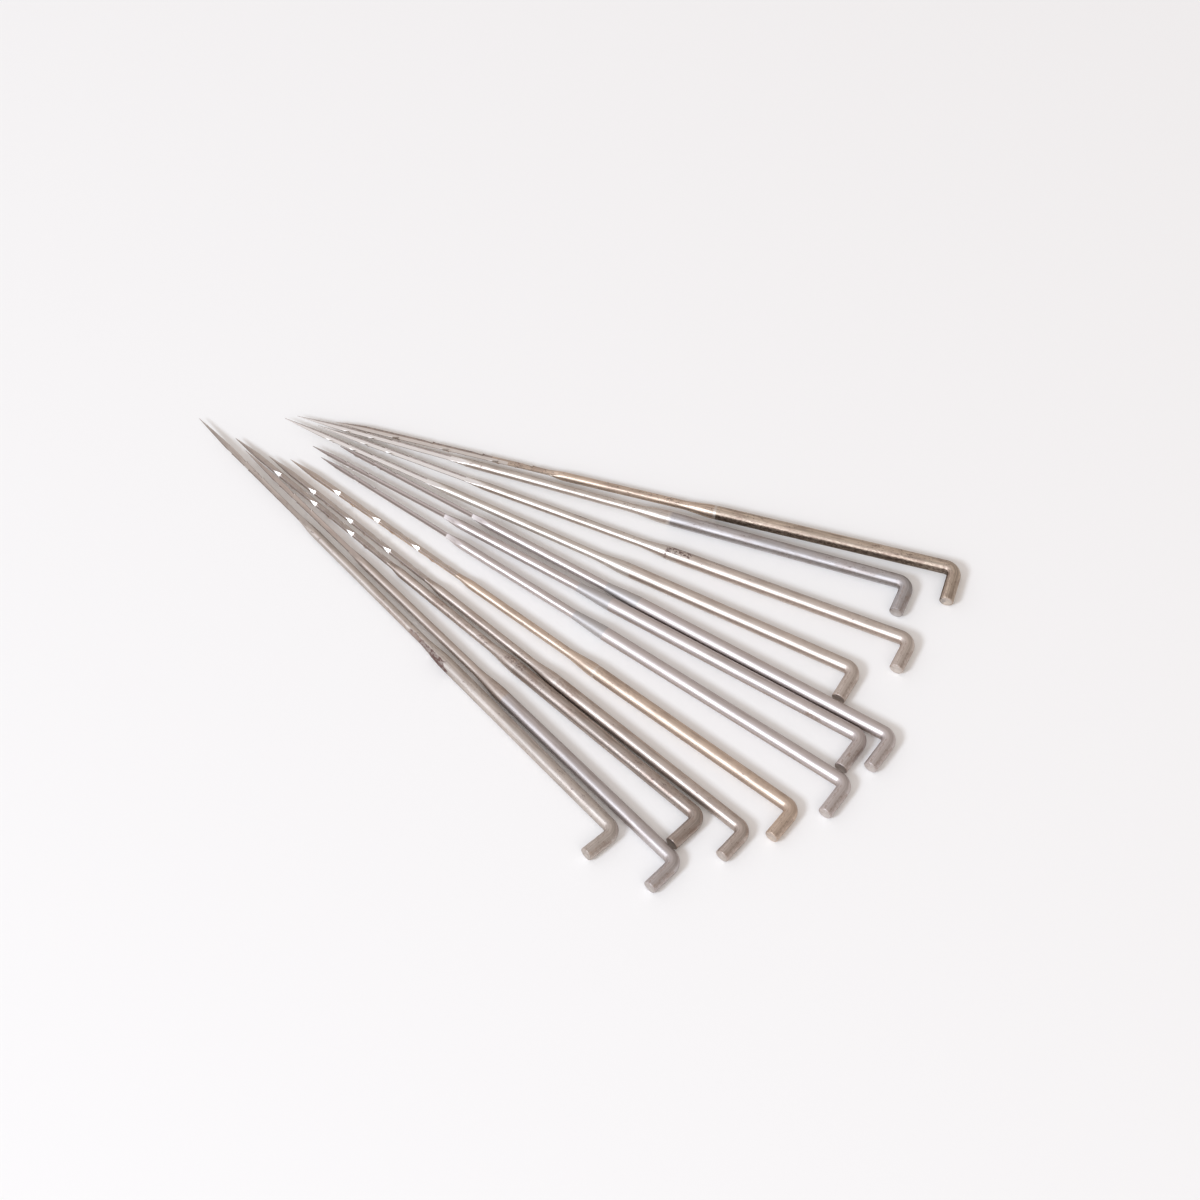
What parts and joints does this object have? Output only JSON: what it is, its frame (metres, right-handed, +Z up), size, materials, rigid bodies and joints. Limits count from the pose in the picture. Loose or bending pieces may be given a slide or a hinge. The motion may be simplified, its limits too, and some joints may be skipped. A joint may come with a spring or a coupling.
{
  "type": "felting needle",
  "caption": "Loose fan of barbed steel felting needles with triangular blades, stepped shanks and short bent cranks, lying flat side by side.",
  "frame": {"origin": "bottom centre of the whole fan's box, on the surface the needles lie on", "axes": "+Z up off that surface, +X along the fan's longest side towards the cranks, +Y towards the points' side"},
  "size_m": [0.089, 0.0652, 0.0016],
  "materials": {
    "warm_steel": "drawn wire, satin, warm grey with faint beige and brown staining",
    "cool_steel": "drawn wire, satin, cool grey",
    "grey_steel": "polished drawn wire, neutral grey with dull matte shoulders",
    "aged_steel": "drawn wire, oxidised golden brown"
  },
  "bodies": {
    "needle_01": {"needle_01": "warm_steel"},
    "needle_02": {"needle_02": "cool_steel"},
    "needle_03": {"needle_03": "warm_steel"},
    "needle_04": {"needle_04": "warm_steel"},
    "needle_05": {"needle_05": "warm_steel"},
    "needle_06": {"needle_06": "grey_steel"},
    "needle_07": {"needle_07": "grey_steel"},
    "needle_08": {"needle_08": "grey_steel"},
    "needle_09": {"needle_09": "warm_steel"},
    "needle_10": {"needle_10": "warm_steel"},
    "needle_11": {"needle_11": "cool_steel"},
    "needle_12": {"needle_12": "aged_steel"}
  },
  "joints": [
    {"name": "needle_02_lift", "type": "slide", "parent": "needle_01", "child": "needle_02", "axis": [0, 0, 1], "range_m": [0, 0.02]},
    {"name": "needle_03_lift", "type": "slide", "parent": "needle_01", "child": "needle_03", "axis": [0, 0, 1], "range_m": [0, 0.02]},
    {"name": "needle_04_lift", "type": "slide", "parent": "needle_01", "child": "needle_04", "axis": [0, 0, 1], "range_m": [0, 0.02]},
    {"name": "needle_05_lift", "type": "slide", "parent": "needle_01", "child": "needle_05", "axis": [0, 0, 1], "range_m": [0, 0.02]},
    {"name": "needle_06_lift", "type": "slide", "parent": "needle_01", "child": "needle_06", "axis": [0, 0, 1], "range_m": [0, 0.02]},
    {"name": "needle_07_lift", "type": "slide", "parent": "needle_01", "child": "needle_07", "axis": [0, 0, 1], "range_m": [0, 0.02]},
    {"name": "needle_08_lift", "type": "slide", "parent": "needle_01", "child": "needle_08", "axis": [0, 0, 1], "range_m": [0, 0.02]},
    {"name": "needle_09_lift", "type": "slide", "parent": "needle_01", "child": "needle_09", "axis": [0, 0, 1], "range_m": [0, 0.02]},
    {"name": "needle_10_lift", "type": "slide", "parent": "needle_01", "child": "needle_10", "axis": [0, 0, 1], "range_m": [0, 0.02]},
    {"name": "needle_11_lift", "type": "slide", "parent": "needle_01", "child": "needle_11", "axis": [0, 0, 1], "range_m": [0, 0.02]},
    {"name": "needle_12_lift", "type": "slide", "parent": "needle_01", "child": "needle_12", "axis": [0, 0, 1], "range_m": [0, 0.02]}
  ]
}
